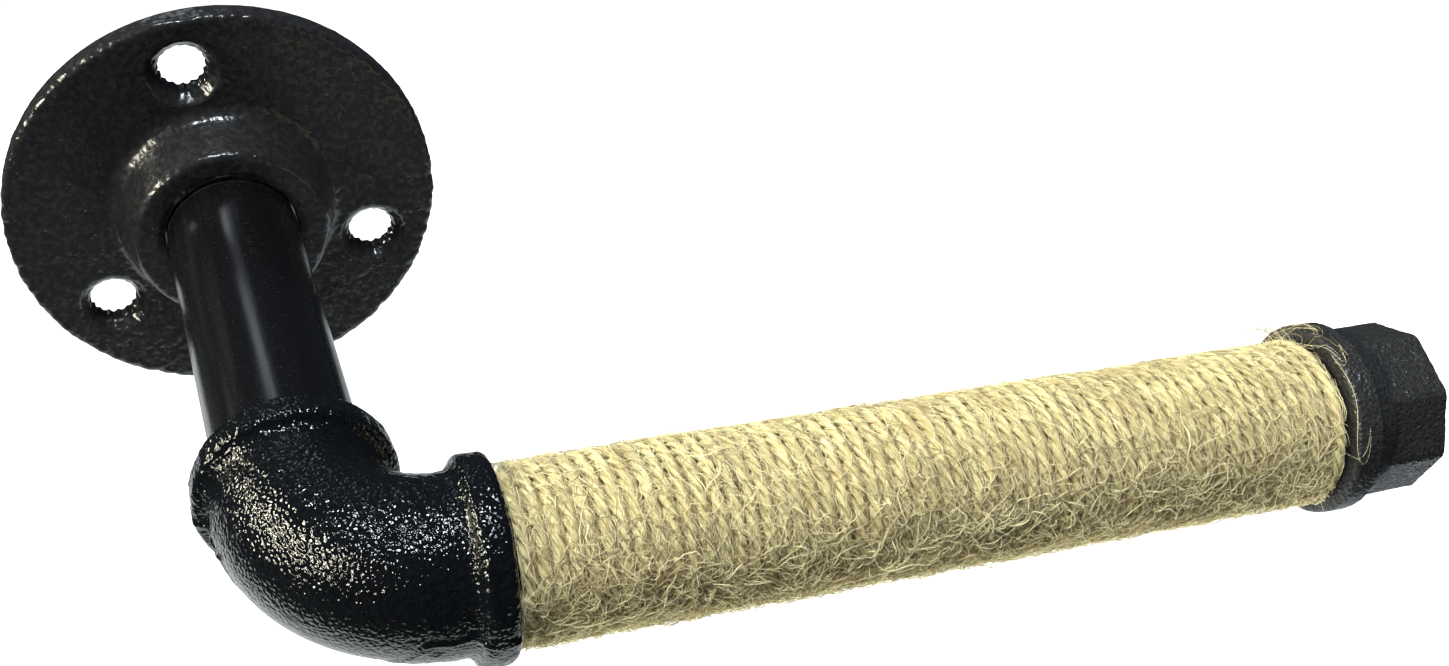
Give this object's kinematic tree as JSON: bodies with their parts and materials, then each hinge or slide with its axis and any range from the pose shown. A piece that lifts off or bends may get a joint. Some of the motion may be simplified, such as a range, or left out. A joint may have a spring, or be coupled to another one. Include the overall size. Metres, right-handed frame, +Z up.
{
  "type": "toilet paper holder",
  "caption": "Wall mounted toilet paper holder made of black pipe fittings: round flange, stand-off pipe, elbow and a twine-wound arm with an end cap.",
  "frame": {"origin": "centre of the wall flange's back face, on the wall", "axes": "+Y into the wall, so the stand-off pipe reaches out along -Y; +X along the arm from the elbow to the end cap; +Z up"},
  "size_m": [0.2055, 0.116, 0.0716],
  "materials": {
    "cast_fitting": "semi-gloss black paint over rough casting",
    "pipe": "smooth gloss black",
    "twine": "natural jute, matt and hairy"
  },
  "bodies": {
    "flange": {"wall_flange": "cast_fitting"},
    "standoff": {"standoff_nipple": "pipe"},
    "elbow": {"elbow": "cast_fitting"},
    "arm": {"arm_nipple": "pipe", "twine_wrap": "twine"},
    "cap": {"end_cap": "cast_fitting"}
  },
  "joints": [
    {"name": "standoff_turn", "type": "hinge", "parent": "flange", "child": "standoff", "pos_m": [0, 0, 0], "axis": [0, 1, 0], "range_deg": [-45, 90]},
    {"name": "elbow_turn", "type": "hinge", "parent": "standoff", "child": "elbow", "pos_m": [0, -0.09, 0], "axis": [0, 1, 0], "range_deg": [-45, 180]},
    {"name": "arm_turn", "type": "hinge", "parent": "elbow", "child": "arm", "pos_m": [0.02, -0.1012, 0], "axis": [1, 0, 0], "range_deg": [-90, 180]},
    {"name": "cap_unscrew", "type": "slide", "parent": "arm", "child": "cap", "axis": [1, 0, 0], "range_m": [0, 0.03]}
  ]
}
